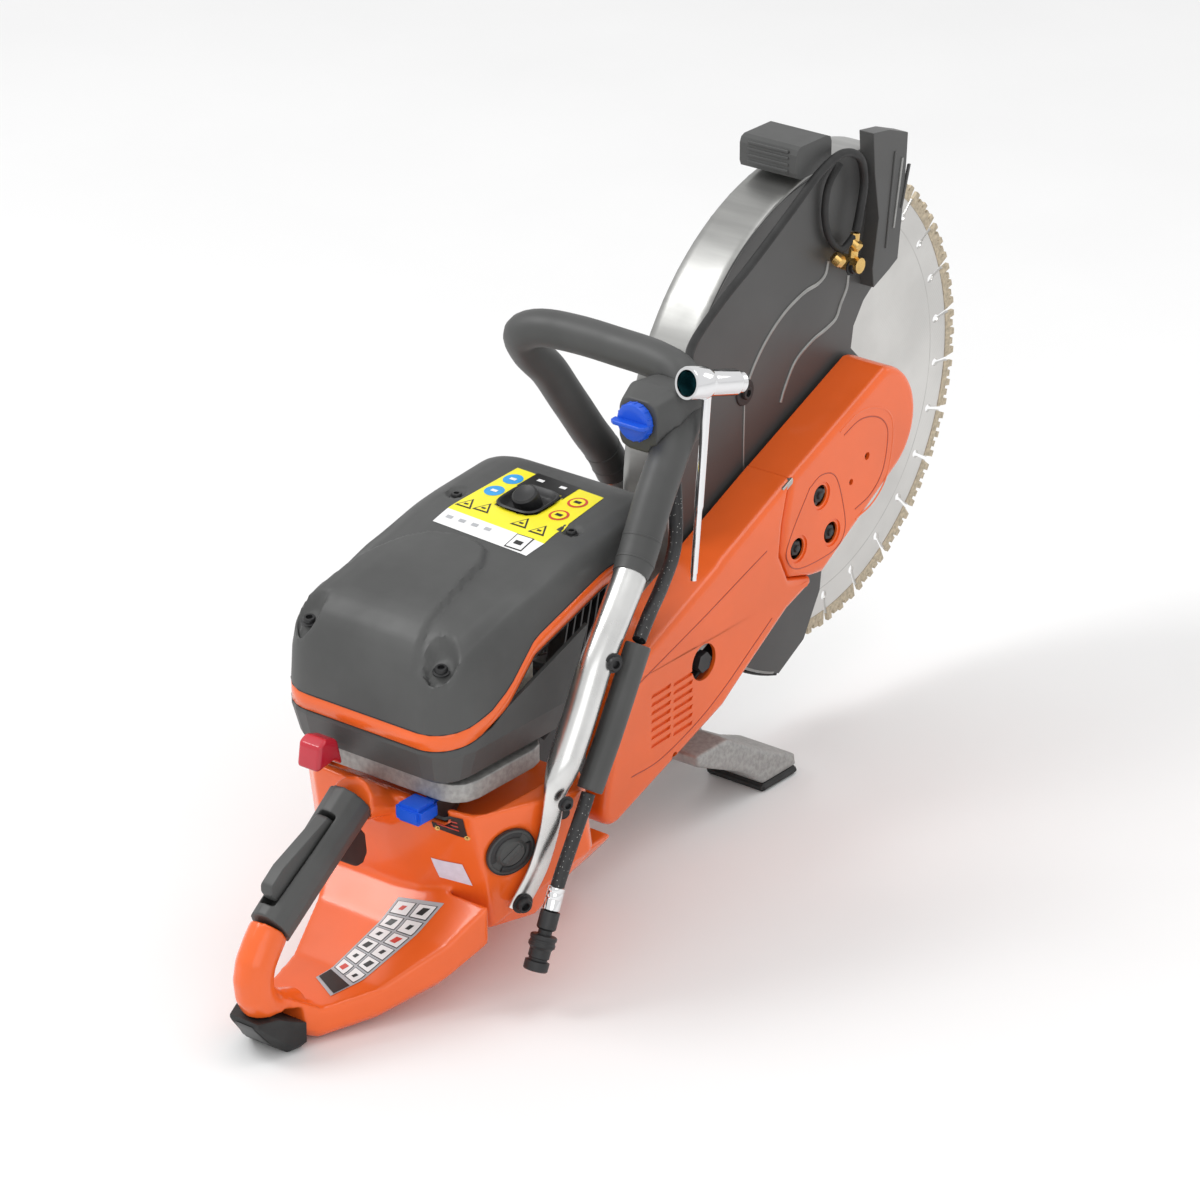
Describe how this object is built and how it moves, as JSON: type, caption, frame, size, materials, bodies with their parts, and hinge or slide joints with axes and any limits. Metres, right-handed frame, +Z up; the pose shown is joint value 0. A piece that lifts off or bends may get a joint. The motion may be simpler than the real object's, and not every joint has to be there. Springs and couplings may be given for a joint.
{
  "type": "concrete cut-off saw",
  "caption": "Handheld petrol cut-off saw with a large segmented diamond blade on a belt-driven arm, a swinging guard, two handles and wet-cutting hoses.",
  "frame": {"origin": "on the ground, under the middle of the saw without its free water hose", "axes": "+X forward along the cutting arm to the blade, +Y to the operator's left, +Z up"},
  "size_m": [0.9199, 0.266, 0.506],
  "materials": {
    "orange_shell": "glossy orange moulding",
    "orange_metal": "glossy orange paint on a casting",
    "dark_plastic": "fine-grained dark grey moulding",
    "black_plastic": "matt black",
    "blade_steel": "brushed disc steel",
    "machined_steel": "turned steel",
    "bare_aluminium": "drawn or cast aluminium, satin",
    "cast_alloy": "rough grey casting",
    "chrome": "polished plating",
    "brass": "bare brass",
    "blue_plastic": "blue control colour",
    "red_plastic": "red control colour",
    "rubber": "black rubber",
    "guard_paint": "dark grey coated guard",
    "filter_foam": "filter paper and foam"
  },
  "bodies": {
    "saw_body": {"air_box": "dark_plastic", "air_filter": "filter_foam", "arbor_bearing": "chrome", "belt_cover_front": "orange_metal", "belt_cover_rear": "orange_metal", "carburettor": "bare_aluminium", "connecting_rod": "machined_steel", "cover_nut_1": "black_plastic", "cover_nut_2": "black_plastic", "cover_nut_3": "black_plastic", "crankcase": "cast_alloy", "cutting_arm": "cast_alloy", "cylinder": "bare_aluminium", "drive_belt": "rubber", "filter_cover": "dark_plastic", "foot_bracket": "cast_alloy", "foot_pad_left": "rubber", "foot_pad_right": "rubber", "front_handle": "bare_aluminium", "front_handle_sleeve": "dark_plastic", "guard_hose": "rubber", "hose_coupling": "dark_plastic", "hose_guide": "dark_plastic", "hose_tail": "rubber", "intake_plate": "cast_alloy", "muffler": "machined_steel", "rear_bumper": "rubber", "rear_grip": "dark_plastic", "rear_housing": "orange_shell", "spark_plug": "chrome", "starter_cover": "orange_shell", "trim_band": "orange_shell", "valve_housing": "dark_plastic", "water_hose": "rubber"},
    "blade_assembly": {"blade": "blade_steel", "arbor_shaft": "machined_steel", "inner_flange": "machined_steel", "outer_flange": "machined_steel", "arbor_bolt": "machined_steel", "driven_pulley": "machined_steel"},
    "drive_pulley": {"clutch_drum_pulley": "machined_steel"},
    "crank_assembly": {"crankshaft": "machined_steel", "flywheel": "bare_aluminium", "clutch_hub": "machined_steel"},
    "piston": {"piston": "bare_aluminium"},
    "guard": {"guard_shell": "guard_paint", "guard_handle": "dark_plastic", "mud_flap": "rubber", "nozzle_fitting": "brass"},
    "trigger": {"throttle_trigger": "black_plastic"},
    "lockout": {"throttle_lockout": "black_plastic"},
    "stop_switch": {"stop_switch": "red_plastic"},
    "choke": {"choke_lever": "blue_plastic"},
    "decompression_valve": {"decompression_valve": "black_plastic"},
    "water_valve": {"valve_knob": "blue_plastic"},
    "fuel_cap": {"fuel_cap": "dark_plastic"},
    "belt_tensioner": {"belt_tension_bolt": "black_plastic"},
    "starter_grip": {"starter_handle": "dark_plastic"},
    "starter_reel": {"starter_pulley": "black_plastic"},
    "wrench": {"wrench": "chrome"}
  },
  "joints": [
    {"name": "blade_spin", "type": "hinge", "parent": "saw_body", "child": "blade_assembly", "pos_m": [0.26, 0.025, 0.264], "axis": [0, 1, 0], "continuous": true},
    {"name": "drive_pulley_spin", "type": "hinge", "parent": "saw_body", "child": "drive_pulley", "pos_m": [-0.032, 0.025, 0.126], "axis": [0, 1, 0], "continuous": true},
    {"name": "crank_spin", "type": "hinge", "parent": "saw_body", "child": "crank_assembly", "pos_m": [-0.032, 0.025, 0.126], "axis": [0, 1, 0], "continuous": true},
    {"name": "piston_slide", "type": "slide", "parent": "saw_body", "child": "piston", "axis": [-0.4226, 0, 0.9063], "range_m": [-0.0164, 0.0214], "deforming": ["connecting_rod"]},
    {"name": "guard_swing", "type": "hinge", "parent": "saw_body", "child": "guard", "pos_m": [0.26, 0.025, 0.264], "axis": [0, 1, 0], "range_deg": [-45, 15], "deforming": ["guard_hose"]},
    {"name": "trigger_pull", "type": "hinge", "parent": "saw_body", "child": "trigger", "pos_m": [-0.33378, 0.0025, 0.13817], "axis": [0, 1, 0], "range_deg": [0, 14], "stiffness_Nm_per_rad": 0.8, "springref_deg": -8.59},
    {"name": "lockout_press", "type": "hinge", "parent": "saw_body", "child": "lockout", "pos_m": [-0.36048, 0.0015, 0.15188], "axis": [0, -1, 0], "range_deg": [0, 5], "stiffness_Nm_per_rad": 0.8, "springref_deg": -8.59},
    {"name": "stop_switch_flip", "type": "hinge", "parent": "saw_body", "child": "stop_switch", "pos_m": [-0.32, 0.0295, 0.177], "axis": [0, 1, 0], "range_deg": [-12, 12]},
    {"name": "choke_pull", "type": "slide", "parent": "saw_body", "child": "choke", "axis": [-1, 0, 0], "range_m": [0, 0.012]},
    {"name": "decompression_press", "type": "slide", "parent": "saw_body", "child": "decompression_valve", "axis": [0.4226, 0, -0.9063], "range_m": [0, 0.005], "stiffness_N_per_m": 600, "springref_m": -0.004},
    {"name": "water_valve_turn", "type": "hinge", "parent": "saw_body", "child": "water_valve", "pos_m": [-0.087, -0.063, 0.386], "axis": [1, 0, 0], "range_deg": [0, 90]},
    {"name": "fuel_cap_turn", "type": "hinge", "parent": "saw_body", "child": "fuel_cap", "pos_m": [-0.2625, -0.0902, 0.1165], "axis": [-0.3678, -0.9176, -0.1509], "range_deg": [0, 90]},
    {"name": "belt_tension_turn", "type": "hinge", "parent": "saw_body", "child": "belt_tensioner", "pos_m": [0.03, 0.025, 0.145], "axis": [0, 1, 0], "range_deg": [-90, 90]},
    {"name": "starter_pull", "type": "slide", "parent": "saw_body", "child": "starter_grip", "axis": [0, 0.3489, 0.9371], "range_m": [0, 0.5], "stiffness_N_per_m": 12, "springref_m": -0.2},
    {"name": "starter_reel_spin", "type": "hinge", "parent": "saw_body", "child": "starter_reel", "pos_m": [-0.032, 0.025, 0.126], "axis": [0, 1, 0], "range_deg": [0, 1250]},
    {"name": "wrench_lift", "type": "slide", "parent": "saw_body", "child": "wrench", "axis": [0, 0, 1], "range_m": [0, 0.12]}
  ],
  "couplings": [
    {"joint": "drive_pulley_spin", "follows": "blade_spin", "ratio": 1.8571},
    {"joint": "starter_reel_spin", "follows": "starter_pull", "rad_per_m": 42.5}
  ]
}
